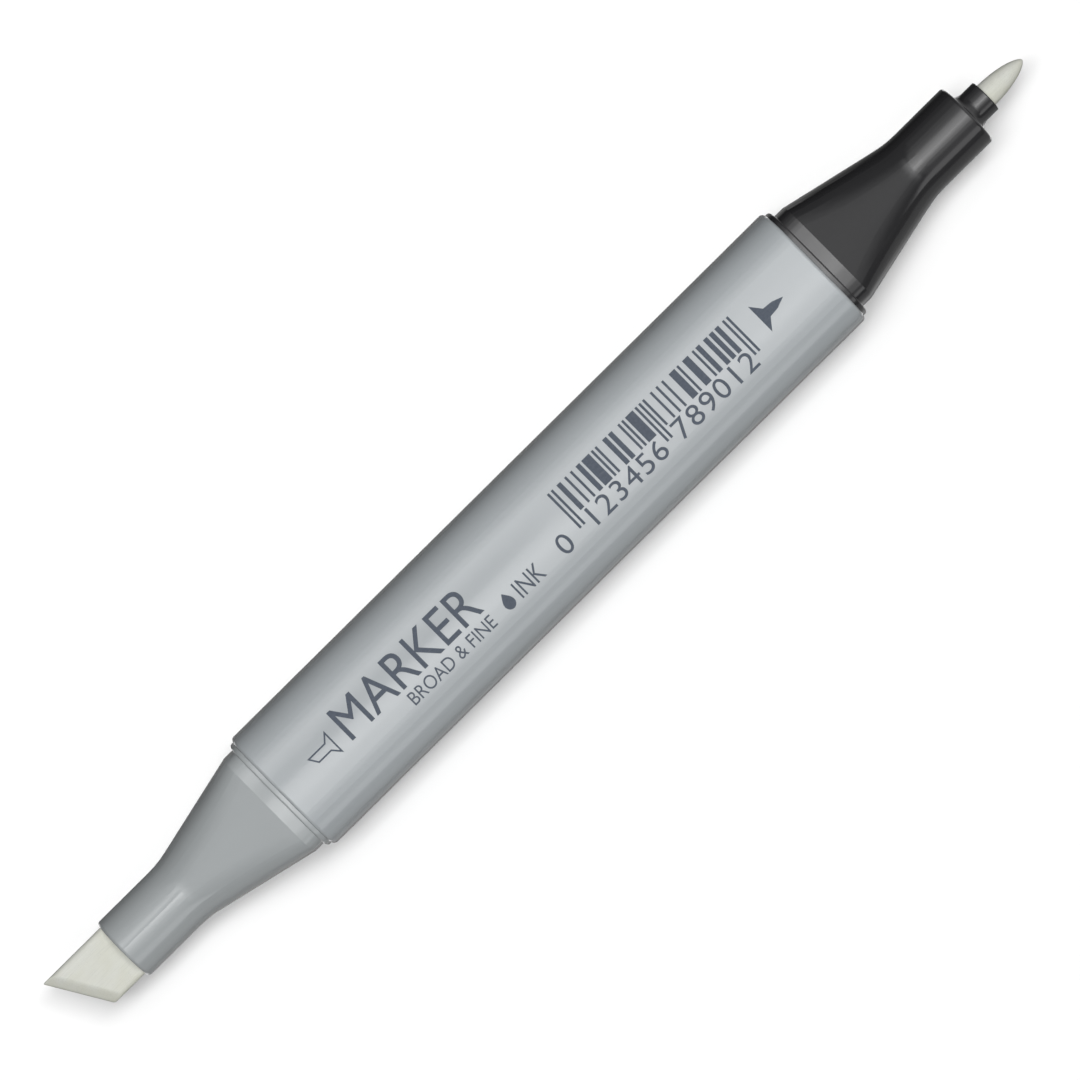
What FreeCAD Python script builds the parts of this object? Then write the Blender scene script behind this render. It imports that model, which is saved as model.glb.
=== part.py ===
"""Double-ended felt tip marker, lying on one side with both caps off.

A rounded-square barrel holds a film-wrapped fibre core full of ink. A moulded neck is pressed into each end:
the broad neck grips a slab nib cut to a slanted chisel edge, and the fine neck a round nib with a pointed
nose. Both nib tails stand in sockets in the ends of the core, and both nibs pull straight out when they are
replaced.

Frame: X along the marker with the fine nib at +X, Z up, Y across. The origin is at the middle of the overall
length, on the surface that the marker lies on. Everything is modelled about the marker's own axis and is
lifted by half the barrel's width when it is written.
"""

import FreeCAD
import Part
import math
import os

# Every rounded-square section is made of tangent arcs: crowned faces, softer shoulders and round corners. The
# joins are the angles through which the surface has turned where a shoulder begins and where a corner begins.
# Towards a circle they slide to the even joins.
SQUARE_JOINS = (math.radians(6.5), math.radians(16.0))
EVEN_JOINS = (math.radians(11.25), math.radians(33.75))

# Barrel
BARREL_WIDTH = 15.0
BARREL_LENGTH = 75.65
BARREL_WALL = 1.2
BARREL_EDGE = 0.35
BARREL_INSET = 3.3

# Ribs inside the barrel that hold the core on the axis; the corners between them stay open to the air
RIB_WIDTH = 0.9
RIB_END_GAP = 1.0

# Ink core and the film round it
CORE_RADIUS = 4.5
FILM_THICKNESS = 0.1
FILM_GAP = 0.02
CORE_REACH_INTO_CONE = 2.0
CORE_END_GAP = 0.1

# What both necks share, measured outwards from the barrel's end
PLUG_LENGTH = 5.0
PLUG_GAP = 0.03
BEAD_HEIGHT = 0.15
BEAD_WIDTH = 0.8
BEAD_SETBACK = 2.1
BEAD_CLEARANCE = 0.03
FLANGE_HALF = 7.1
FLANGE_INSET = 3.7
FLANGE_THICKNESS = 0.55
FLANGE_EDGE = 0.2
SPIGOT_LENGTH = 1.35
SPIGOT_INSET_SHARE = 0.64
SQUARENESS_FADE = 1.4
CONE_SECTIONS = 14
BLEND_RADIUS = 12.0
MOUTH_EDGE = 0.35
CORE_BORE_GAP = 0.05
CORE_STOP_RADIUS = 4.0

# Broad neck and its slab nib
BROAD_SPIGOT_HALF = 6.6
BROAD_NECK_RADIUS = 3.76
BROAD_CONE_LENGTH = 12.3
BROAD_NECK_LENGTH = 8.62
SLOT_ENTRY_RADIUS = 3.6
SLOT_ENTRY_FROM_STOP = 5.6
BROAD_NIB_WIDTH = 6.5
BROAD_NIB_DEPTH = 3.2
BROAD_NIB_CORNER = 0.6
BROAD_NIB_OUT = 8.25
CHISEL_SLANT = 3.9
CHISEL_BEVEL = 1.3
CHISEL_LAND = 1.3
SLOT_VENT_OUT = 1.6
SLOT_VENT_WIDTH = 0.9
SLOT_VENT_DEPTH = 0.3

# Fine neck and its round nib
FINE_SPIGOT_HALF = 6.4
FINE_NECK_RADIUS = 3.7
FINE_CONE_LENGTH = 11.95
FINE_NECK_LENGTH = 8.12
BOSS_RADIUS = 1.87
BOSS_LENGTH = 2.63
BOSS_FLARE_RADIUS = 2.45
BOSS_FLARE_LENGTH = 1.0
BOSS_EDGE = 0.12
CHAMBER_RADIUS = 2.35
GUIDE_LENGTH = 5.0
FINE_NIB_RADIUS = 1.36
FINE_NIB_OUT = 5.2
OGIVE_RADIUS = 12.8
BORE_VENT_WIDTH = 0.5
BORE_VENT_DEPTH = 0.25
BORE_VENTS = 3

# Nib tails, pressed into the core, and the running gap round both nibs
TAIL_DEPTH = 2.5
TAIL_CHAMFER = 0.4
NIB_GAP = 0.04

# Places along X, worked out from the lengths above
OVERALL_LENGTH = (BROAD_NIB_OUT + BROAD_NECK_LENGTH + BROAD_CONE_LENGTH + BARREL_LENGTH + FINE_CONE_LENGTH
                  + FINE_NECK_LENGTH + BOSS_LENGTH + FINE_NIB_OUT + 2 * (SPIGOT_LENGTH + FLANGE_THICKNESS))
BARREL_HALF = BARREL_WIDTH / 2
CONE_START = FLANGE_THICKNESS + SPIGOT_LENGTH
CORE_STOP = CONE_START + CORE_REACH_INTO_CONE
BROAD_MOUTH = CONE_START + BROAD_CONE_LENGTH + BROAD_NECK_LENGTH
FINE_NECK_END = CONE_START + FINE_CONE_LENGTH + FINE_NECK_LENGTH
FINE_MOUTH = FINE_NECK_END + BOSS_LENGTH
BARREL_START = -OVERALL_LENGTH / 2 + BROAD_NIB_OUT + BROAD_MOUTH
BARREL_END = BARREL_START + BARREL_LENGTH
FILM_OUTER = CORE_RADIUS + FILM_GAP + FILM_THICKNESS

# How far off a plane an edge may be and still lie in it, and how nearly parallel to X counts as along it
PLANE_TOLERANCE = 1e-4
NEARLY_ALONG = 0.99

# How far a cut runs past the solid that it cuts, and how far two joined shapes or two bores in line overlap
OVERRUN = 1.0
OVERLAP = 0.5

ALONG = FreeCAD.Vector(1, 0, 0)
UP = FreeCAD.Vector(0, 0, 1)


def at(x, y=0.0, z=0.0):
    return FreeCAD.Vector(x, y, z)


def on_ring(x, radius, angle, centre_y=0.0, centre_z=0.0):
    """A point at x on a circle round a centre in the cross-section."""
    return at(x, centre_y + radius * math.cos(angle), centre_z + radius * math.sin(angle))


def outline(x, half, inset, square=1.0):
    """A rounded square in the plane at x, made of sixteen tangent arcs.

    half is the distance from the axis to the middle of a face, and inset places the corner arcs' centres. A
    shoulder's radius is a corner's plus the inset. square slides the joins between the arcs from the rounded
    square's (1) to the even ones (0). Inset 0 is a circle.
    """
    crown_join, corner_join = [even + (join - even) * square for join, even in zip(SQUARE_JOINS, EVEN_JOINS)]
    beyond = 1 - math.sin(corner_join)
    corner = half - inset * (2 - math.cos(corner_join) + beyond * math.tan(crown_join / 2))
    shoulder = corner + inset
    crown = shoulder + inset * beyond / math.sin(crown_join)
    shoulder_centre = (crown - shoulder) * math.sin(crown_join)
    crown_centre = half - crown
    shoulder_back = crown_centre + (crown - shoulder) * math.cos(crown_join)
    arcs = []
    for quarter in range(4):
        facing = quarter * math.pi / 2
        pieces = [(crown, crown_centre, 0, -crown_join, crown_join),
                  (shoulder, shoulder_back, shoulder_centre, crown_join, corner_join),
                  (corner, inset, inset, corner_join, math.pi / 2 - corner_join),
                  (shoulder, shoulder_centre, shoulder_back, math.pi / 2 - corner_join,
                   math.pi / 2 - crown_join)]
        for radius, out, along, first, last in pieces:
            centre_y = out * math.cos(facing) - along * math.sin(facing)
            centre_z = out * math.sin(facing) + along * math.cos(facing)
            turns = (first, (first + last) / 2, last)
            points = [on_ring(x, radius, facing + turn, centre_y, centre_z) for turn in turns]
            arcs.append(Part.Arc(*points).toShape())
    return Part.Wire(arcs)


def prism(start, end, half, inset):
    """A straight length of rounded-square section from x = start to x = end."""
    return Part.Face(outline(start, half, inset)).extrude(at(end - start))


def rod(start, end, radius):
    return Part.makeCylinder(radius, end - start, at(start), ALONG)


def taper(start, start_radius, end, end_radius):
    return Part.makeCone(start_radius, end_radius, end - start, at(start), ALONG)


def bar(start, end, width, depth, centre_y=0.0, centre_z=0.0):
    """A plain rectangular bar along X, centred on (centre_y, centre_z)."""
    corner = at(start, centre_y - width / 2, centre_z - depth / 2)
    return Part.makeBox(end - start, width, depth, corner)


def slab(start, end, grow=0.0):
    """A length of the broad nib's flat section with rounded edges, grown all round by grow."""
    half_width = BROAD_NIB_WIDTH / 2 + grow
    half_depth = BROAD_NIB_DEPTH / 2 + grow
    solid = bar(start, end, 2 * half_width, 2 * half_depth)
    long_edges = [e for e in solid.Edges if abs(e.tangentAt(e.FirstParameter).x) > NEARLY_ALONG]
    return solid.makeFillet(BROAD_NIB_CORNER + grow, long_edges)


def ring_edges(solid, x, beyond_radius):
    """The edges of a solid that lie in the plane at x, further from the axis than beyond_radius."""
    found = []
    for edge in solid.Edges:
        box = edge.BoundBox
        middle = edge.valueAt((edge.FirstParameter + edge.LastParameter) / 2)
        in_plane = max(abs(box.XMin - x), abs(box.XMax - x)) < PLANE_TOLERANCE
        if in_plane and math.hypot(middle.y, middle.z) > beyond_radius:
            found.append(edge)
    return found


def on_broad_end(solid):
    """Carries a solid modelled outwards from x = 0 to the barrel's broad end, facing -X."""
    solid.rotate(at(0), UP, 180)
    solid.translate(at(BARREL_START))
    return solid


def on_fine_end(solid):
    """Carries a solid modelled outwards from x = 0 to the barrel's fine end, facing +X."""
    solid.translate(at(BARREL_END))
    return solid


def barrel():
    """The square tube: a snap groove near each end and four ribs that hold the core."""
    body = prism(BARREL_START, BARREL_END, BARREL_HALF, BARREL_INSET)
    ends = ring_edges(body, BARREL_START, 0) + ring_edges(body, BARREL_END, 0)
    body = body.makeFillet(BARREL_EDGE, ends)
    inner_half = BARREL_HALF - BARREL_WALL
    body = body.cut(prism(BARREL_START - OVERRUN, BARREL_END + OVERRUN, inner_half, BARREL_INSET))
    groove_half = inner_half - PLUG_GAP + BEAD_HEIGHT + BEAD_CLEARANCE
    groove_width = BEAD_WIDTH + 2 * BEAD_CLEARANCE
    for middle in (BARREL_START + BEAD_SETBACK, BARREL_END - BEAD_SETBACK):
        groove = prism(middle - groove_width / 2, middle + groove_width / 2, groove_half, BARREL_INSET)
        body = body.cut(groove)
    rib_start = BARREL_START + PLUG_LENGTH + RIB_END_GAP
    rib_end = BARREL_END - PLUG_LENGTH - RIB_END_GAP
    rib_tip = FILM_OUTER + CORE_BORE_GAP
    rib_root = inner_half + BARREL_WALL / 2
    rib_middle = (rib_tip + rib_root) / 2
    for quarter in range(4):
        rib = bar(rib_start, rib_end, rib_root - rib_tip, RIB_WIDTH, rib_middle)
        rib.rotate(at(0), ALONG, 90 * quarter)
        body = body.fuse(rib)
    return body.removeSplitter()


def cone_half(x, spigot_half, neck_radius, cone_length, rise):
    """Half the cone's width at x: a straight flank that an arc turns into the neck's cylinder."""
    arc_end = CONE_START + cone_length + BLEND_RADIUS * math.tan(rise / 2)
    arc_start = arc_end - BLEND_RADIUS * math.sin(rise)
    if x < arc_start:
        return spigot_half - (x - CONE_START) * math.tan(rise)
    return neck_radius + BLEND_RADIUS - math.sqrt(BLEND_RADIUS ** 2 - (arc_end - x) ** 2)


def cone(spigot_half, neck_radius, cone_length):
    """The cone's solid, and the x at which it has become the neck's cylinder."""
    rise = math.atan((spigot_half - neck_radius) / cone_length)
    arc_end = CONE_START + cone_length + BLEND_RADIUS * math.tan(rise / 2)
    step = (arc_end - CONE_START) / CONE_SECTIONS
    places = [CONE_START + step * number for number in range(CONE_SECTIONS + 1)]
    sections = []
    for x in places:
        square = (1 - (x - CONE_START) / (arc_end - CONE_START)) ** SQUARENESS_FADE
        inset = SPIGOT_INSET_SHARE * spigot_half * square
        sections.append(outline(x, cone_half(x, spigot_half, neck_radius, cone_length, rise), inset, square))
    return Part.makeLoft(sections, True, False), arc_end


def neck_outside(spigot_half, neck_radius, cone_length, neck_end):
    """The outside of a neck, outwards from x = 0: plug with its snap bead, flange, spigot, cone and neck."""
    plug_half = BARREL_HALF - BARREL_WALL - PLUG_GAP
    plug = prism(-PLUG_LENGTH, FLANGE_THICKNESS / 2, plug_half, BARREL_INSET)
    bead_start = -BEAD_SETBACK - BEAD_WIDTH / 2
    bead = prism(bead_start, bead_start + BEAD_WIDTH, plug_half + BEAD_HEIGHT, BARREL_INSET)
    flange = prism(0, FLANGE_THICKNESS, FLANGE_HALF, FLANGE_INSET)
    flange = flange.makeFillet(FLANGE_EDGE, ring_edges(flange, FLANGE_THICKNESS, 0))
    spigot = prism(FLANGE_THICKNESS / 2, CONE_START, spigot_half, SPIGOT_INSET_SHARE * spigot_half)
    flank, neck_start = cone(spigot_half, neck_radius, cone_length)
    neck = rod(neck_start, neck_end, neck_radius)
    neck = neck.makeFillet(MOUTH_EDGE, ring_edges(neck, neck_end, 0))
    return plug.fuse([bead, flange, spigot, flank, neck]).removeSplitter()


def core_bore():
    """The round bore through a neck's plug and spigot, where the wrapped core ends against a shoulder."""
    return rod(-PLUG_LENGTH - OVERRUN, CORE_STOP, FILM_OUTER + CORE_BORE_GAP)


def broad_neck():
    """The neck of the broad end. Its slot grips the slab nib, and vents beside the nib let air in."""
    solid = neck_outside(BROAD_SPIGOT_HALF, BROAD_NECK_RADIUS, BROAD_CONE_LENGTH, BROAD_MOUTH)
    entry = CORE_STOP + SLOT_ENTRY_FROM_STOP
    solid = solid.cut(core_bore())
    solid = solid.cut(taper(CORE_STOP - OVERLAP, CORE_STOP_RADIUS, entry, SLOT_ENTRY_RADIUS))
    solid = solid.cut(slab(entry - OVERLAP, BROAD_MOUTH + OVERRUN, NIB_GAP))
    vent_middle = BROAD_NIB_DEPTH / 2 + SLOT_VENT_DEPTH / 2
    for side in (-1, 1):
        vent_y = side * SLOT_VENT_OUT
        for face in (-1, 1):
            vent = bar(entry - OVERLAP, BROAD_MOUTH + OVERRUN, SLOT_VENT_WIDTH, SLOT_VENT_DEPTH + NIB_GAP,
                       vent_y, face * vent_middle)
            solid = solid.cut(vent)
    return on_broad_end(solid)


def boss():
    """The small collar at the fine end: a concave flare from the neck's end face into a short cylinder."""
    rise = BOSS_FLARE_RADIUS - BOSS_RADIUS
    bend = (BOSS_FLARE_LENGTH ** 2 + rise ** 2) / (2 * rise)
    turn = math.asin(BOSS_FLARE_LENGTH / bend)
    flare_end = FINE_NECK_END + BOSS_FLARE_LENGTH

    def flare(angle):
        return at(flare_end - bend * math.sin(angle), BOSS_RADIUS + bend * (1 - math.cos(angle)))

    root = FINE_NECK_END - OVERRUN
    arc = Part.Arc(flare(turn), flare(turn / 2), flare(0)).toShape()
    corners = [flare(0), at(FINE_MOUTH, BOSS_RADIUS), at(FINE_MOUTH), at(root), at(root, BOSS_FLARE_RADIUS),
               flare(turn)]
    profile = Part.Wire([arc] + Part.makePolygon(corners).Edges)
    solid = Part.Face(profile).revolve(at(0), ALONG, 360)
    return solid.makeFillet(BOSS_EDGE, ring_edges(solid, FINE_MOUTH, BOSS_RADIUS / 2))


def fine_neck():
    """The neck of the fine end: a guide bore with vents grips the round nib, and a chamber lies behind it."""
    solid = neck_outside(FINE_SPIGOT_HALF, FINE_NECK_RADIUS, FINE_CONE_LENGTH, FINE_NECK_END)
    solid = solid.fuse(boss()).removeSplitter()
    guide_start = FINE_MOUTH - GUIDE_LENGTH
    chamber_start = CONE_START + FINE_CONE_LENGTH
    bore = FINE_NIB_RADIUS + NIB_GAP
    solid = solid.cut(core_bore())
    solid = solid.cut(taper(CORE_STOP - OVERLAP, CORE_STOP_RADIUS, chamber_start, CHAMBER_RADIUS))
    solid = solid.cut(rod(chamber_start - OVERLAP, guide_start, CHAMBER_RADIUS))
    solid = solid.cut(rod(guide_start - OVERLAP, FINE_MOUTH + OVERRUN, bore))
    for number in range(BORE_VENTS):
        vent = bar(guide_start - OVERLAP, FINE_MOUTH + OVERRUN, BORE_VENT_DEPTH + bore, BORE_VENT_WIDTH,
                   (BORE_VENT_DEPTH + bore) / 2)
        vent.rotate(at(0), ALONG, 360 * number / BORE_VENTS)
        solid = solid.cut(vent)
    return on_fine_end(solid)


def tail_end():
    """Where a nib's tail ends, inside the core, outwards from the barrel's end."""
    return CORE_STOP - CORE_END_GAP - TAIL_DEPTH


def broad_nib():
    """The slab nib: its end is cut on a slant and bevelled on both flats towards the writing edge."""
    tip = BROAD_MOUTH + BROAD_NIB_OUT
    blank = slab(tail_end(), tip + OVERRUN)
    tail = ring_edges(blank, tail_end(), 0)
    blank = blank.makeChamfer(TAIL_CHAMFER, tail)
    slant = math.atan2(CHISEL_SLANT, BROAD_NIB_WIDTH)
    half_depth = BROAD_NIB_DEPTH / 2
    half_land = CHISEL_LAND / 2
    behind = 2 * (tip - tail_end())
    clear = half_depth + OVERRUN
    wedge = [at(-behind, 0, -clear), at(-CHISEL_BEVEL, 0, -clear), at(-CHISEL_BEVEL, 0, -half_depth),
             at(0, 0, -half_land), at(0, 0, half_land), at(-CHISEL_BEVEL, 0, half_depth),
             at(-CHISEL_BEVEL, 0, clear), at(-behind, 0, clear), at(-behind, 0, -clear)]
    keep = Part.Face(Part.makePolygon(wedge)).extrude(at(0, 2 * behind))
    keep.translate(at(0, -behind))
    keep.rotate(at(0), UP, math.degrees(slant))
    keep.translate(at(tip, -BROAD_NIB_WIDTH / 2))
    return on_broad_end(blank.common(keep))


def fine_nib():
    """The round nib: a chamfered tail, a plain shank, and an ogive nose with a small round point."""
    radius = FINE_NIB_RADIUS
    start = tail_end()
    below = OGIVE_RADIUS - radius
    point = (OGIVE_RADIUS ** 2 - FINE_NIB_OUT ** 2 - below ** 2) / (2 * (OGIVE_RADIUS - FINE_NIB_OUT))
    point_centre = FINE_NIB_OUT - point
    nose_turn = math.atan2(point_centre, below)

    def ogive(angle):
        return at(FINE_MOUTH + OGIVE_RADIUS * math.sin(angle), OGIVE_RADIUS * math.cos(angle) - below)

    def round_point(angle):
        return at(FINE_MOUTH + point_centre + point * math.sin(angle), point * math.cos(angle))

    tip = at(FINE_MOUTH + FINE_NIB_OUT)
    nose = Part.Arc(ogive(0), ogive(nose_turn / 2), ogive(nose_turn)).toShape()
    end = Part.Arc(ogive(nose_turn), round_point((nose_turn + math.pi / 2) / 2), tip).toShape()
    corners = [tip, at(start), at(start, radius - TAIL_CHAMFER), at(start + TAIL_CHAMFER, radius), ogive(0)]
    profile = Part.Wire([nose, end] + Part.makePolygon(corners).Edges)
    return on_fine_end(Part.Face(profile).revolve(at(0), ALONG, 360))


def core_start():
    return BARREL_START - CORE_STOP + CORE_END_GAP


def core_end():
    return BARREL_END + CORE_STOP - CORE_END_GAP


def ink_core():
    """The bonded fibre core, with a socket in each end for a nib's tail."""
    depth = TAIL_DEPTH + CORE_END_GAP
    body = rod(core_start(), core_end(), CORE_RADIUS)
    body = body.cut(slab(core_start() - OVERRUN, core_start() + depth, NIB_GAP))
    return body.cut(rod(core_end() - depth, core_end() + OVERRUN, FINE_NIB_RADIUS + NIB_GAP))


def core_film():
    """The thin film sleeve round the core, open at both ends."""
    sleeve = rod(core_start(), core_end(), FILM_OUTER)
    return sleeve.cut(rod(core_start() - OVERRUN, core_end() + OVERRUN, FILM_OUTER - FILM_THICKNESS))


PARTS = {
    "barrel": barrel,
    "broad_neck": broad_neck,
    "fine_neck": fine_neck,
    "broad_nib": broad_nib,
    "fine_nib": fine_nib,
    "ink_core": ink_core,
    "core_film": core_film,
}


def main():
    os.makedirs("parts", exist_ok=True)
    for name, make in PARTS.items():
        solid = make()
        solid.translate(at(0, 0, BARREL_HALF))
        box = solid.BoundBox
        print(f"{name}: valid {solid.isValid()}, {len(solid.Solids)} solid, {solid.Volume:.1f} mm3, "
              f"x {box.XMin:.2f} to {box.XMax:.2f}, z {box.ZMin:.2f} to {box.ZMax:.2f}")
        solid.exportStep(os.path.join("parts", name + ".step"))


main()
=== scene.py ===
import math

import bmesh
import bpy
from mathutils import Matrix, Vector, noise

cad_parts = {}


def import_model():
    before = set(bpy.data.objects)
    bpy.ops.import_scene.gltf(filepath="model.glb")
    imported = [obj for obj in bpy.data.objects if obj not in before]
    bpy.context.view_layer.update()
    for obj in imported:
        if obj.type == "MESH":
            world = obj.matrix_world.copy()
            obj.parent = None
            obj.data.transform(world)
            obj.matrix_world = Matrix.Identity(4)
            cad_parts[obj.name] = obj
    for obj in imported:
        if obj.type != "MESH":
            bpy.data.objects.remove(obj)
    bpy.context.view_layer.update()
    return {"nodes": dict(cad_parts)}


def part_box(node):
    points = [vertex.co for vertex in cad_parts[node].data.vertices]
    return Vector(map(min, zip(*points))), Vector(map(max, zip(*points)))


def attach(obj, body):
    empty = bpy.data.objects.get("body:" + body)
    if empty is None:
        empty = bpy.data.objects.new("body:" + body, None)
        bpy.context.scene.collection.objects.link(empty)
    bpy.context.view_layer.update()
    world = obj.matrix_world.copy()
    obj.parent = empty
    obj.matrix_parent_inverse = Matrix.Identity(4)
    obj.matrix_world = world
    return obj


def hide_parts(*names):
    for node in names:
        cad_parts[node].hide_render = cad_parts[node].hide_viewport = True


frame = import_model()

# The shapes below are laid out in millimetres, as the CAD is, and this turns them into the scene's metres
MM = 0.001

# Camera: straight above the marker, which runs up to the right across the square frame
AXIS_ANGLE = math.radians(44.715)
FRAME_WIDTH = 109.5 * MM
LENS = 280.0
SENSOR = 36.0
AIM_RIGHT = 0.84 * MM
AIM_UP = 1.12 * MM

# Light strips that run along the marker, high above it. Angles are degrees off the vertical, seen from the
# marker's axis, and positive ones are on the -Y side. Radiance 1 shows as white.
STRIP_HEIGHT = 0.7
STRIP_HALF_LENGTH = 0.25
BAND_START = 4.5 * MM
STRIPS = [
    # name, from, to, radiance, casts shadows
    ("rim_left", -75, -52, 0.2, False),
    ("low_left", -52, -40, 0.6, False),
    ("soft_left", -40, -30, 0.9, False),
    ("side_left", -30, -24, 1.3, False),
    ("wide_left", -24, -20, 2.3, False),
    ("near_left", -20, -14, 3.0, False),
    ("key_left", -14, -8.5, 3.75, True),
    ("peak_right", 3, 8, 5.4, False),
    ("side_right", 8, 12, 3.5, False),
    ("low_right", 12, 20, 2.6, False),
    ("soft_right", 20, 31, 1.15, False),
    ("rim_right", 31, 48, 0.4, False),
]
# Between key_left and the core, a dim band up to BAND_START and a bright one past it; then the core, brighter
# past its middle length
BAND_FROM = -8.5
BAND_TO = -1
BAND_RADIANCE = 1.3
KEY_RADIANCE = 4.4
CORE_FROM = -1
CORE_TO = 3
CORE_HALF_LENGTH = 80 * MM
CORE_RADIANCE = 4.3
CORE_END_RADIANCE = 6.0

# Two softboxes that aren't reflected: one lights the floor and throws the marker's shadow, and one fills the
# -Y side
WASH_FROM = -12
WASH_TO = 0
WASH_RADIANCE = 12.0
FILL_FROM = 20
FILL_TO = 40
FILL_RADIANCE = 3.6

# What the world gives off: to matt surfaces above the horizon, and below it on the -Y and the +Y side
SKY = 0.03
GROUND_RIGHT = 0.42
GROUND_LEFT = 0.07
# and what it shows in reflections: just past the strips' ends, beyond them, low down on the -Y side, in place
# of the floor there, straight below, and elsewhere
NEAR_GLOW = 3.6
END_GLOW = 0.95
FAR_GLOW = 1.5
FAR_LOWEST = 0.36
FLOOR_GLOW = 0.45
UNDER_GLOW = 0.2
SIDE_GLOW = 0.1
# Where each of these begins and ends, as parts of a direction's length along one axis
HORIZON = (-0.05, 0.05)
GROUND_TURN = (-0.3, 0.3)
PAST_STRIPS = (0.24, 0.29)
GLOW_FADE = (0.26, 0.42)
END_SPREAD = (0.2, 0.7)
FAR_SPREAD = (-0.78, -0.72)
FLOOR_SPREAD = (-0.3, 0)
UNDER_SPREAD = (-0.9, -0.6)

FLOOR_HALF = 3.0
FLOOR_ALBEDO = 0.815
FLOOR_FADE = (0.15, 0.6)

# Print, in millimetres from the middle of the barrel's top face
INK_ABOVE = 0.012
INK_BELOW = 0.01
INK_HALF_WIDTH = 4.0
INK_STEP = 0.4
# Words: text, left, right, bottom, top
WORDS = [("MARKER", -28.95, -10.3, -1.3, 2.55), ("BROAD & FINE", -21.95, -10.3, -3.3, -1.85),
         ("INK", -6.7, -3.3, -3.2, -1.3)]
CODE_START = 2.28
CODE_MODULE = 0.269
CODE_TOP = 2.53
CODE_BOTTOM = -0.96
GUARD_BOTTOM = -2.23
CODE = "0123456789012"
DIGIT_MODULES = 7
DIGIT_TOP = -1.15
DIGIT_BOTTOM = -3.3
DIGIT_STRETCH = 1.12
FIRST_DIGIT_MIDDLE = 0.1
DIGIT_WIDTHS = ("3211", "2221", "2122", "1411", "1132", "1231", "1114", "1312", "1213", "3112")
CHISEL_SIGN = [(-33.6, 0.55), (-32.9, -0.55), (-31.2, -0.55), (-30.35, -1.5), (-30.35, 1.5), (-31.2, 0.55)]
CHISEL_SIGN_LINE = 0.17
POINT_SIGN = [(29.95, -1.75), (30.9, -0.55), (32.0, -0.45), (33.2, 0.0), (32.0, 0.45), (30.9, 0.55),
              (29.95, 1.75)]
DROP_X = -8.0
DROP_Y = -2.3
DROP_HALF_WIDTH = 0.75
DROP_HALF_HEIGHT = 0.95
DROP_PINCH = 0.2
DROP_STEPS = 24

# Felt nibs, in millimetres
NIB_RING = 96
CORNER_STEPS = 8
FLAT_STEPS = 60
EDGE_STEPS = 20
NIB_STEP = 0.15
CHISEL_SLANT = 3.9
CHISEL_BEVEL = 1.34
CHISEL_HALF_LAND = 0.64
CHISEL_SOFTNESS = 0.12
NIB_CORNER = 0.6
NIB_RIM = 0.2
RIM_STEPS = 5
FACE_STEPS = 10
TAIL_CHAMFER = 0.4
FINE_NIB_OUT = 5.2
NOSE_POWER = 0.6
NOSE_STEPS = 60
FIBRE_HEIGHT = 0.008

nodes = frame["nodes"]
BARREL_LOW, BARREL_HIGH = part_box("barrel")
BARREL_MIDDLE = (BARREL_LOW + BARREL_HIGH) / 2
AXIS_HEIGHT = BARREL_MIDDLE.z


# ---------------------------------------------------------------- materials

def material(name):
    made = bpy.data.materials.new(name)
    made.use_nodes = True
    return made, made.node_tree, made.node_tree.nodes["Principled BSDF"]


def add(tree, kind, **inputs):
    """A node of the given kind, with its inputs set from plain values or linked from other nodes' outputs."""
    node = tree.nodes.new(kind)
    for name, value in inputs.items():
        socket = node.inputs[name.replace("_", " ")]
        if isinstance(value, bpy.types.NodeSocket):
            tree.links.new(value, socket)
        else:
            socket.default_value = value
    return node


def grain(tree, sizes, detail=2.0):
    """Noise in the piece's own coordinates. sizes gives its grain along X, Y and Z in millimetres."""
    place = add(tree, "ShaderNodeTexCoord").outputs["Object"]
    scale = [1 / (size * MM) for size in sizes]
    spread = add(tree, "ShaderNodeMapping", Vector=place, Scale=scale).outputs["Vector"]
    return add(tree, "ShaderNodeTexNoise", Vector=spread, Scale=1.0, Detail=detail).outputs["Fac"]


def ranged(tree, source, low, high, start=0.3, end=0.7):
    """Stretches the part of a texture from start to end over the values from low to high."""
    node = add(tree, "ShaderNodeMapRange", Value=source, From_Min=start, From_Max=end, To_Min=low, To_Max=high)
    return node.outputs["Result"]


def blended(tree, factor, first, second):
    node = tree.nodes.new("ShaderNodeMix")
    node.data_type = "RGBA"
    tree.links.new(factor, node.inputs["Factor"])
    for place, colour in zip(("A", "B"), (first, second)):
        socket = [s for s in node.inputs if s.name == place and s.type == "RGBA"][0]
        if isinstance(colour, bpy.types.NodeSocket):
            tree.links.new(colour, socket)
        else:
            socket.default_value = (*colour, 1)
    return [s for s in node.outputs if s.type == "RGBA"][0]


def bumps(tree, layers):
    """Stacks bump layers of (height texture, depth in millimetres) and returns the normal."""
    normal = None
    for height, depth in layers:
        node = add(tree, "ShaderNodeBump", Height=height, Distance=depth * MM)
        if normal is not None:
            tree.links.new(normal, node.inputs["Normal"])
        normal = node.outputs["Normal"]
    return normal


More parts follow.
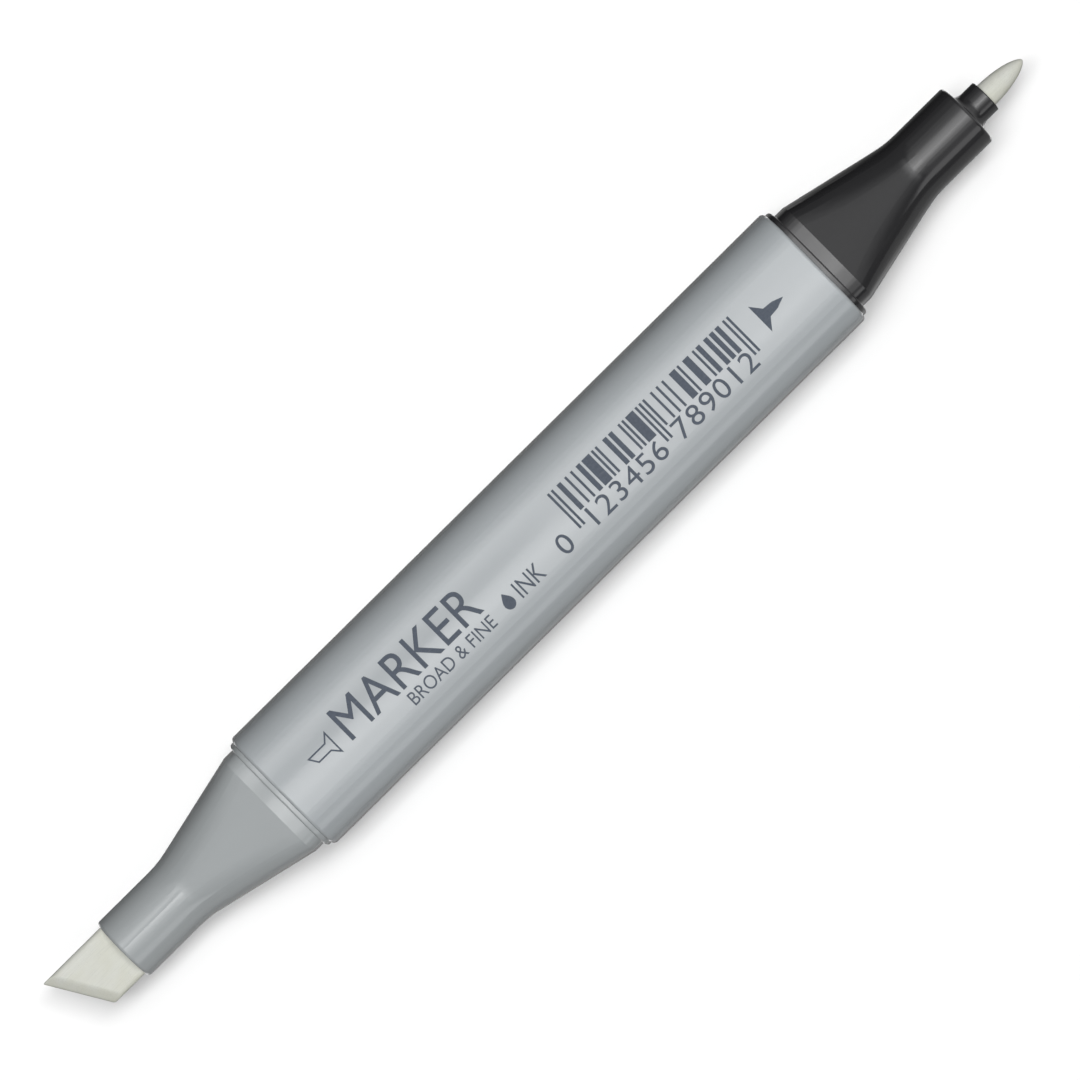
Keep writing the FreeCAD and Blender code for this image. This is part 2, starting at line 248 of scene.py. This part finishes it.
def plastic(name, tone, variation, roughness):
    """Satin moulded plastic: faint clouds, a fine moulded grain, flow lines and hairline rubs along X."""
    made, tree, shader = material(name)
    clouds = grain(tree, (14, 5, 5), 3.0)
    fine = grain(tree, (0.35, 0.35, 0.35), 3.0)
    rubs = grain(tree, (9, 0.12, 0.12), 2.0)
    dark = [channel * (1 - variation) for channel in tone]
    light = [channel * (1 + variation) for channel in tone]
    base = blended(tree, ranged(tree, clouds, 0, 1), dark, light)
    specks = ranged(tree, fine, 0, 0.5 * variation, 0.55, 0.75)
    tree.links.new(blended(tree, specks, base, dark), shader.inputs["Base Color"])
    rough = ranged(tree, rubs, roughness - 0.02, roughness + 0.03)
    tree.links.new(rough, shader.inputs["Roughness"])
    layers = [(clouds, 0.004), (fine, 0.0006), (ranged(tree, rubs, 0, 1, 0.62, 0.72), 0.0004)]
    tree.links.new(bumps(tree, layers), shader.inputs["Normal"])
    return made


def felt(name, tone, roughness=0.85):
    """Bonded fibre: fine strands along X, pores between them and slight uneven yellowing, with painted shade
    darkening the gaps between strands and the pores.
    """
    made, tree, shader = material(name)
    strands = grain(tree, (2.5, 0.09, 0.09), 4.0)
    pores = grain(tree, (0.16, 0.1, 0.1), 2.0)
    stains = grain(tree, (3, 2, 2), 2.0)
    warm = [channel * shift for channel, shift in zip(tone, (1.0, 0.99, 0.93))]
    pale = [min(channel * 1.06, 1) for channel in tone]
    # painted shade: a darker copy of the tone, laid into the gaps between strands and into the pores
    painted_shade = [channel * 0.8 for channel in tone]
    base = blended(tree, ranged(tree, stains, 0, 1), pale, warm)
    shaded_gaps = ranged(tree, strands, 0, 0.55, 0.5, 0.8)
    base = blended(tree, shaded_gaps, base, painted_shade)
    shaded_pores = ranged(tree, pores, 0, 0.5, 0.6, 0.8)
    tree.links.new(blended(tree, shaded_pores, base, painted_shade), shader.inputs["Base Color"])
    tree.links.new(ranged(tree, strands, roughness - 0.08, roughness + 0.08), shader.inputs["Roughness"])
    tree.links.new(bumps(tree, [(strands, 0.02), (pores, 0.015)]), shader.inputs["Normal"])
    shader.inputs["Specular IOR Level"].default_value = 0.2
    return made


def ink():
    """Matt printed ink: slight mottle where it took unevenly, and a faint roughness of its own."""
    made, tree, shader = material("print_ink_look")
    mottle = grain(tree, (0.3, 0.3, 0.3), 3.0)
    wear = grain(tree, (2.0, 0.5, 0.5), 3.0)
    base = blended(tree, ranged(tree, mottle, 0, 1), (0.052, 0.062, 0.08), (0.066, 0.078, 0.1))
    rubbed = ranged(tree, wear, 0, 0.12, 0.6, 0.8)
    tree.links.new(blended(tree, rubbed, base, (0.2, 0.21, 0.22)), shader.inputs["Base Color"])
    tree.links.new(ranged(tree, mottle, 0.5, 0.62), shader.inputs["Roughness"])
    tree.links.new(bumps(tree, [(mottle, 0.002)]), shader.inputs["Normal"])
    shader.inputs["Specular IOR Level"].default_value = 0.2
    return made


def film():
    """Thin clear film over the core, seen as a milky skin with fine creases along it."""
    made, tree, shader = material("film_look")
    creases = grain(tree, (12, 0.4, 0.4), 3.0)
    haze = grain(tree, (1.5, 1.5, 1.5), 2.0)
    tree.links.new(blended(tree, ranged(tree, haze, 0, 1), (0.62, 0.65, 0.67), (0.72, 0.74, 0.75)),
                   shader.inputs["Base Color"])
    tree.links.new(ranged(tree, creases, 0.18, 0.35), shader.inputs["Roughness"])
    tree.links.new(bumps(tree, [(creases, 0.02)]), shader.inputs["Normal"])
    return made


# ---------------------------------------------------------------- meshes

def piece(name, mesh, body, look):
    made = bpy.data.objects.new(name, mesh)
    bpy.context.scene.collection.objects.link(made)
    mesh.materials.clear()
    mesh.materials.append(look)
    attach(made, body)
    return made


def ring_mesh(name, rings):
    """A closed skin over a row of rings with equal numbers of points. Rings may shrink to a line or a point."""
    count = len(rings[0])
    points = [point for ring in rings for point in ring]
    faces = []
    for row in range(len(rings) - 1):
        for number in range(count):
            after = (number + 1) % count
            faces.append((row * count + number, row * count + after, (row + 1) * count + after,
                          (row + 1) * count + number))
    mesh = bpy.data.meshes.new(name)
    mesh.from_pydata(points, [], faces)
    work = bmesh.new()
    work.from_mesh(mesh)
    bmesh.ops.remove_doubles(work, verts=work.verts, dist=1e-6)
    bmesh.ops.dissolve_degenerate(work, edges=work.edges, dist=1e-7)
    bmesh.ops.recalc_face_normals(work, faces=work.faces)
    work.to_mesh(mesh)
    work.free()
    for face in mesh.polygons:
        face.use_smooth = True
    return mesh


def fibrous(point, outward):
    """Moves a point a little along outward, in ridges that run along X as felt fibres do."""
    ridge = noise.noise(Vector((point[0] * 0.5, point[1] * 7, point[2] * 7)))
    return [place + FIBRE_HEIGHT * (ridge - 1) * way for place, way in zip(point, outward)]


def slab_ring(inset):
    """Points round the broad nib's section, all moved in by inset, as (y, z) with their outward direction."""
    low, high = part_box("broad_nib")
    half_width = (high.y - low.y) / 2 / MM - inset
    half_depth = (high.z - low.z) / 2 / MM - inset
    corner = max(NIB_CORNER - inset, 0)
    ring = []
    for quarter in range(4):
        across = (half_width - corner) * (1 if quarter in (0, 3) else -1)
        upward = (half_depth - corner) * (1 if quarter < 2 else -1)
        for step in range(CORNER_STEPS + 1):
            turn = math.pi / 2 * (quarter + step / CORNER_STEPS)
            way = (math.cos(turn), math.sin(turn))
            ring.append((across + corner * way[0], upward + corner * way[1], way))
        y, z, way = ring[-1]
        run_y = -2 * across if quarter % 2 == 0 else 0
        run_z = -2 * upward if quarter % 2 == 1 else 0
        steps = FLAT_STEPS if quarter % 2 == 0 else EDGE_STEPS
        for step in range(1, steps):
            ring.append((y + run_y * step / steps, z + run_z * step / steps, way))
    return ring


def soft_step(depth):
    """How far back the bevel lies at a height above the writing edge's land, with the arris rounded."""
    return (depth + math.sqrt(depth * depth + CHISEL_SOFTNESS ** 2)) / 2


def broad_nib():
    """The slab nib's felt skin, from its tail to the slanted writing edge."""
    low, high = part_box("broad_nib")
    middle_z = (low.z + high.z) / 2 / MM
    half_width = (high.y - low.y) / 2 / MM
    half_depth = (high.z - low.z) / 2 / MM
    tip = low.x / MM
    tail = high.x / MM

    def edge(y, z):
        back = CHISEL_SLANT * (half_width - y) / (2 * half_width)
        share = soft_step(abs(z) - CHISEL_HALF_LAND) / (half_depth - CHISEL_HALF_LAND)
        return tip + back + CHISEL_BEVEL * share

    def set_down(x, y, z, way=(0, 0)):
        x, y, z = fibrous((x, y, z), (0, way[0], way[1]))
        return (x * MM, y * MM, (z + middle_z) * MM)

    rings = []
    for inset in (half_depth, 2 * TAIL_CHAMFER, TAIL_CHAMFER):
        rings.append([set_down(tail, y, z, way) for y, z, way in slab_ring(inset)])
    steps = int((tail - tip) / NIB_STEP)
    start = tail - TAIL_CHAMFER
    for step in range(steps + 1):
        ring = []
        for y, z, way in slab_ring(0):
            end = edge(y, z) + NIB_RIM
            ring.append(set_down(start + (end - start) * step / steps, y, z, way))
        rings.append(ring)
    for step in range(1, RIM_STEPS + 1):
        turn = math.pi / 2 * step / RIM_STEPS
        inset = NIB_RIM * (1 - math.cos(turn))
        back = NIB_RIM * (1 - math.sin(turn))
        rings.append([set_down(edge(y, z) + back, y, z, way) for y, z, way in slab_ring(inset)])
    for step in range(1, FACE_STEPS + 1):
        inset = NIB_RIM + (half_depth - NIB_RIM) * step / FACE_STEPS
        rings.append([set_down(edge(y, z), y, z) for y, z, way in slab_ring(inset)])
    return ring_mesh("broad_nib_felt", rings)


def fine_nib():
    """The round nib's felt skin, from its tail over the pointed nose."""
    low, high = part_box("fine_nib")
    middle_z = (low.z + high.z) / 2 / MM
    radius = (high.z - low.z) / 2 / MM
    tail = low.x / MM
    tip = high.x / MM
    mouth = tip - FINE_NIB_OUT
    profile = [(tail, 0.0), (tail, radius - TAIL_CHAMFER)]
    start = tail + TAIL_CHAMFER
    steps = int((mouth - start) / NIB_STEP)
    profile += [(start + (mouth - start) * step / steps, radius) for step in range(steps)]
    for step in range(NOSE_STEPS + 1):
        share = math.sin(math.pi / 2 * step / NOSE_STEPS)
        profile.append((mouth + FINE_NIB_OUT * share, radius * (1 - share * share) ** NOSE_POWER))
    rings = []
    for x, reach in profile:
        ring = []
        for number in range(NIB_RING):
            angle = 2 * math.pi * number / NIB_RING
            way = (0, math.cos(angle), math.sin(angle))
            spot = (x, reach * way[1], reach * way[2])
            if reach > 2 * FIBRE_HEIGHT:
                spot = fibrous(spot, way)
            ring.append((spot[0] * MM, spot[1] * MM, (spot[2] + middle_z) * MM))
        rings.append(ring)
    return ring_mesh("fine_nib_felt", rings)


# ---------------------------------------------------------------- print

def letters(text):
    """Plain letters as flat polygons, with the text's height as the unit and its lower left corner at 0."""
    curve = bpy.data.curves.new("word", "FONT")
    curve.body = text
    curve.resolution_u = 6
    holder = bpy.data.objects.new("word", curve)
    bpy.context.scene.collection.objects.link(holder)
    bpy.context.view_layer.update()
    mesh = bpy.data.meshes.new_from_object(holder.evaluated_get(bpy.context.evaluated_depsgraph_get()))
    bpy.data.objects.remove(holder)
    left = min(vertex.co.x for vertex in mesh.vertices)
    bottom = min(vertex.co.y for vertex in mesh.vertices)
    height = max(vertex.co.y for vertex in mesh.vertices) - bottom
    spots = [((vertex.co.x - left) / height, (vertex.co.y - bottom) / height) for vertex in mesh.vertices]
    return [[spots[index] for index in face.vertices] for face in mesh.polygons]


def placed(shapes, left, bottom, wide, high):
    return [[(left + x * wide, bottom + y * high) for x, y in shape] for shape in shapes]


def word(text, left, right, bottom, top):
    """Letters fitted into a rectangle."""
    shapes = letters(text)
    length = max(x for shape in shapes for x, y in shape)
    return placed(shapes, left, bottom, (right - left) / length, top - bottom)


def digit(number, middle):
    """A digit below the code's bars, centred on its place in the code."""
    shapes = letters(number)
    high = DIGIT_TOP - DIGIT_BOTTOM
    wide = high * DIGIT_STRETCH
    length = max(x for shape in shapes for x, y in shape) * wide
    return placed(shapes, middle - length / 2, DIGIT_BOTTOM, wide, high)


def box(left, right, bottom, top):
    return [(left, bottom), (right, bottom), (right, top), (left, top)]


def code():
    """The bars of a placeholder retail code, with its digits below."""
    shapes = []
    place = CODE_START

    def run(widths, dark_first, bottom):
        nonlocal place
        dark = dark_first
        for width in widths:
            end = place + int(width) * CODE_MODULE
            if dark:
                shapes.append(box(place, end, bottom, CODE_TOP))
            place = end
            dark = not dark

    def digits(numbers, dark_first):
        for number in numbers:
            middle = place + DIGIT_MODULES / 2 * CODE_MODULE
            run(DIGIT_WIDTHS[int(number)], dark_first, CODE_BOTTOM)
            shapes.extend(digit(number, middle))

    run("111", True, GUARD_BOTTOM)
    digits(CODE[1:7], False)
    run("11111", False, GUARD_BOTTOM)
    digits(CODE[7:13], True)
    run("111", True, GUARD_BOTTOM)
    return shapes + digit(CODE[0], FIRST_DIGIT_MIDDLE)


def line(points, width):
    """A closed line of even width round a polygon, as one four-sided shape for each side."""
    area = sum(a[0] * b[1] - b[0] * a[1] for a, b in zip(points, points[1:] + points[:1]))
    side = math.copysign(1, area)
    inner = []
    for before, here, after in zip(points[-1:] + points[:-1], points, points[1:] + points[:1]):
        first = Vector((here[0] - before[0], here[1] - before[1])).normalized()
        second = Vector((after[0] - here[0], after[1] - here[1])).normalized()
        normal = Vector((-first.y - second.y, first.x + second.x)) * side
        normal.normalize()
        reach = width / max(normal.dot(Vector((-first.y, first.x)) * side), 0.3)
        inner.append((here[0] + normal.x * reach, here[1] + normal.y * reach))
    shapes = []
    for number in range(len(points)):
        after = (number + 1) % len(points)
        shapes.append([points[number], points[after], inner[after], inner[number]])
    return shapes


def pictograms():
    """A chisel nib in outline at the broad end, a solid pointed nib at the fine end, and a small ink drop."""
    drop = []
    for step in range(DROP_STEPS):
        angle = 2 * math.pi * step / DROP_STEPS
        half_width = DROP_HALF_WIDTH * (1 - DROP_PINCH * (1 + math.cos(angle)) ** 2)
        drop.append((DROP_X + half_width * math.sin(angle), DROP_Y + DROP_HALF_HEIGHT * math.cos(angle)))
    return line(CHISEL_SIGN, CHISEL_SIGN_LINE) + [POINT_SIGN, drop]


def in_order(work):
    """A mesh's points, edges and faces, sorted by place so that their order is the same every run."""
    points = sorted(work.verts, key=lambda vertex: tuple(vertex.co))
    numbers = {vertex: number for number, vertex in enumerate(points)}
    faces = []
    for face in work.faces:
        row = [numbers[vertex] for vertex in face.verts]
        first = row.index(min(row))
        faces.append(row[first:] + row[:first])
    return [tuple(vertex.co) for vertex in points], [], sorted(faces)


def print_layer(look):
    """All the print as one thin layer of ink that follows the crown of the barrel's top face."""
    shapes = code() + pictograms()
    for row in WORDS:
        shapes += word(*row)
    work = bmesh.new()
    for shape in shapes:
        corners = [work.verts.new((BARREL_MIDDLE.x / MM + x, y, 0)) for x, y in shape]
        work.faces.new(corners)
    bmesh.ops.remove_doubles(work, verts=work.verts, dist=1e-4)
    bmesh.ops.triangulate(work, faces=work.faces)
    cut = -INK_HALF_WIDTH
    while cut < INK_HALF_WIDTH:
        parts = work.verts[:] + work.edges[:] + work.faces[:]
        bmesh.ops.bisect_plane(work, geom=parts, plane_co=(0, cut, 0), plane_no=(0, 1, 0), dist=1e-5)
        cut += INK_STEP
    bmesh.ops.recalc_face_normals(work, faces=work.faces)
    for face in work.faces:
        if face.normal.z < 0:
            face.normal_flip()
    under = work.faces[:]
    raised = bmesh.ops.extrude_face_region(work, geom=under, use_keep_orig=True)
    upper = {part for part in raised["geom"] if isinstance(part, bmesh.types.BMVert)}
    for face in under:
        face.normal_flip()
    barrel = nodes["barrel"]
    start = BARREL_HIGH.z + 1 * MM
    for vertex in work.verts:
        x = vertex.co.x * MM
        y = vertex.co.y * MM
        hit, spot, _, _ = barrel.ray_cast(Vector((x, y, start)), Vector((0, 0, -1)))
        lift = INK_ABOVE if vertex in upper else -INK_BELOW
        vertex.co = (x, y, spot.z + lift * MM)
    mesh = bpy.data.meshes.new("barrel_print")
    mesh.from_pydata(*in_order(work))
    work.free()
    piece("barrel_print", mesh, "body", look)


# ---------------------------------------------------------------- stage

def camera():
    data = bpy.data.cameras.new("camera")
    data.lens = LENS
    data.sensor_width = SENSOR
    data.clip_start = 0.01
    data.clip_end = 20
    made = bpy.data.objects.new("camera", data)
    right = Vector((math.cos(AXIS_ANGLE), -math.sin(AXIS_ANGLE), 0))
    up = Vector((math.sin(AXIS_ANGLE), math.cos(AXIS_ANGLE), 0))
    distance = FRAME_WIDTH * LENS / SENSOR
    above = Vector((BARREL_MIDDLE.x, 0, AXIS_HEIGHT + distance))
    made.location = above - right * AIM_RIGHT - up * AIM_UP
    made.rotation_euler = (0, 0, -AXIS_ANGLE)
    bpy.context.scene.collection.objects.link(made)
    bpy.context.scene.camera = made


def strip(name, low, high, radiance, shadow, start=-STRIP_HALF_LENGTH, end=STRIP_HALF_LENGTH):
    """A long softbox parallel to X, from low to high degrees off the vertical."""
    y_low = -STRIP_HEIGHT * math.tan(math.radians(low))
    y_high = -STRIP_HEIGHT * math.tan(math.radians(high))
    data = bpy.data.lights.new(name, "AREA")
    data.shape = "RECTANGLE"
    data.size = end - start
    data.size_y = abs(y_high - y_low)
    data.energy = radiance * math.pi * data.size * data.size_y
    data.use_shadow = shadow
    made = bpy.data.objects.new(name, data)
    made.location = ((start + end) / 2, (y_low + y_high) / 2, AXIS_HEIGHT + STRIP_HEIGHT)
    made.visible_camera = False
    bpy.context.scene.collection.objects.link(made)
    return made


def lights():
    for name, low, high, radiance, shadow in STRIPS:
        strip(name, low, high, radiance, shadow)
    strip("band", BAND_FROM, BAND_TO, BAND_RADIANCE, True, end=BAND_START)
    strip("key_middle", BAND_FROM, BAND_TO, KEY_RADIANCE, True, start=BAND_START)
    strip("core", CORE_FROM, CORE_TO, CORE_RADIANCE, False, -CORE_HALF_LENGTH, CORE_HALF_LENGTH)
    strip("core_broad", CORE_FROM, CORE_TO, CORE_END_RADIANCE, False, end=-CORE_HALF_LENGTH)
    strip("core_fine", CORE_FROM, CORE_TO, CORE_END_RADIANCE, False, start=CORE_HALF_LENGTH)
    wash = strip("wash", WASH_FROM, WASH_TO, WASH_RADIANCE, True)
    wash.visible_glossy = False
    fill = strip("fill", FILL_FROM, FILL_TO, FILL_RADIANCE, False)
    fill.visible_glossy = False


def calculated(tree, operation, *terms):
    """A plain sum on values or outputs."""
    node = tree.nodes.new("ShaderNodeMath")
    node.operation = operation
    for socket, value in zip(node.inputs, terms):
        if isinstance(value, bpy.types.NodeSocket):
            tree.links.new(value, socket)
        else:
            socket.default_value = value
    return node.outputs["Value"]


def world():
    """White behind the floor for the camera, and a weak glow for the matt surfaces and the reflections."""
    made = bpy.data.worlds.new("world")
    made.use_nodes = True
    tree = made.node_tree
    way = add(tree, "ShaderNodeTexCoord").outputs["Generated"]
    parts = add(tree, "ShaderNodeSeparateXYZ", Vector=way).outputs
    ground = ranged(tree, parts["Y"], GROUND_RIGHT, GROUND_LEFT, *GROUND_TURN)
    above = ranged(tree, parts["Z"], 0, 1, *HORIZON)
    below = calculated(tree, "SUBTRACT", 1.0, above)
    matt = calculated(tree, "MULTIPLY_ADD", above, SKY, calculated(tree, "MULTIPLY", below, ground))
    endwise = calculated(tree, "ABSOLUTE", parts["X"])
    past_strips = ranged(tree, endwise, 0, 1, *PAST_STRIPS)
    fading = ranged(tree, endwise, NEAR_GLOW, END_GLOW, *GLOW_FADE)
    sideways = ranged(tree, calculated(tree, "ABSOLUTE", parts["Y"]), 1, 0, *END_SPREAD)
    ends = calculated(tree, "MULTIPLY", calculated(tree, "MULTIPLY", past_strips, fading), sideways)
    low_side = calculated(tree, "MULTIPLY", ranged(tree, parts["Y"], FAR_GLOW, 0, *FAR_SPREAD),
                          calculated(tree, "GREATER_THAN", parts["Z"], FAR_LOWEST))
    floor_side = calculated(tree, "MULTIPLY", below, ranged(tree, parts["Y"], FLOOR_GLOW, 0, *FLOOR_SPREAD))
    under = ranged(tree, parts["Z"], UNDER_GLOW, 0, *UNDER_SPREAD)
    glossy = calculated(tree, "MAXIMUM", calculated(tree, "MAXIMUM", ends, low_side), floor_side)
    glossy = calculated(tree, "MAXIMUM", glossy, calculated(tree, "MULTIPLY_ADD", above, SIDE_GLOW, under))
    ray = add(tree, "ShaderNodeLightPath").outputs
    unseen = calculated(tree, "MULTIPLY", calculated(tree, "SUBTRACT", 1.0, ray["Is Glossy Ray"]), matt)
    level = calculated(tree, "MULTIPLY_ADD", ray["Is Glossy Ray"], glossy, unseen)
    level = calculated(tree, "MAXIMUM", level, ray["Is Camera Ray"])
    tree.links.new(level, tree.nodes["Background"].inputs["Strength"])
    tree.nodes["Background"].inputs["Color"].default_value = (1, 1, 1, 1)
    bpy.context.scene.world = made


def floor():
    """A matt white floor, lit by the strips near the marker and glowing further out, where their light fades.

    The world stands in for the light that it would throw back up.
    """
    mesh = bpy.data.meshes.new("floor")
    corners = [(-FLOOR_HALF, -FLOOR_HALF, 0), (FLOOR_HALF, -FLOOR_HALF, 0), (FLOOR_HALF, FLOOR_HALF, 0),
               (-FLOOR_HALF, FLOOR_HALF, 0)]
    mesh.from_pydata(corners, [], [(0, 1, 2, 3)])
    made = bpy.data.objects.new("floor", mesh)
    look, tree, shader = material("floor_look")
    shader.inputs["Base Color"].default_value = (FLOOR_ALBEDO, FLOOR_ALBEDO, FLOOR_ALBEDO, 1)
    shader.inputs["Roughness"].default_value = 0.9
    shader.inputs["Specular IOR Level"].default_value = 0
    place = add(tree, "ShaderNodeTexCoord").outputs["Object"]
    distance = add(tree, "ShaderNodeVectorMath")
    distance.operation = "LENGTH"
    tree.links.new(place, distance.inputs[0])
    tree.links.new(ranged(tree, distance.outputs["Value"], 0, 1, *FLOOR_FADE),
                   shader.inputs["Emission Strength"])
    look.cycles.emission_sampling = "NONE"
    mesh.materials.append(look)
    made.visible_diffuse = False
    made.visible_glossy = False
    made.visible_shadow = False
    bpy.context.scene.collection.objects.link(made)


NIB_FELT = felt("nib_felt_look", (0.49, 0.497, 0.46))
LOOKS = {
    "barrel": plastic("barrel_plastic_look", (0.28, 0.299, 0.31), 0.02, 0.12),
    "broad_neck": plastic("broad_neck_plastic_look", (0.265, 0.281, 0.286), 0.02, 0.12),
    "fine_neck": plastic("fine_neck_plastic_look", (0.0175, 0.0175, 0.0185), 0.06, 0.12),
    "broad_nib": NIB_FELT,
    "fine_nib": NIB_FELT,
    "ink_core": felt("core_fibre_look", (0.6, 0.6, 0.56), 0.9),
    "core_film": film(),
}
for node, look in LOOKS.items():
    nodes[node].data.materials.clear()
    nodes[node].data.materials.append(look)

broad_felt = piece("broad_nib_felt", broad_nib(), "broad_nib", NIB_FELT)
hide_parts("broad_nib")
fine_felt = piece("fine_nib_felt", fine_nib(), "fine_nib", NIB_FELT)
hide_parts("fine_nib")
print_layer(ink())
camera()
lights()
world()
floor()
bpy.context.scene.view_settings.view_transform = "Standard"
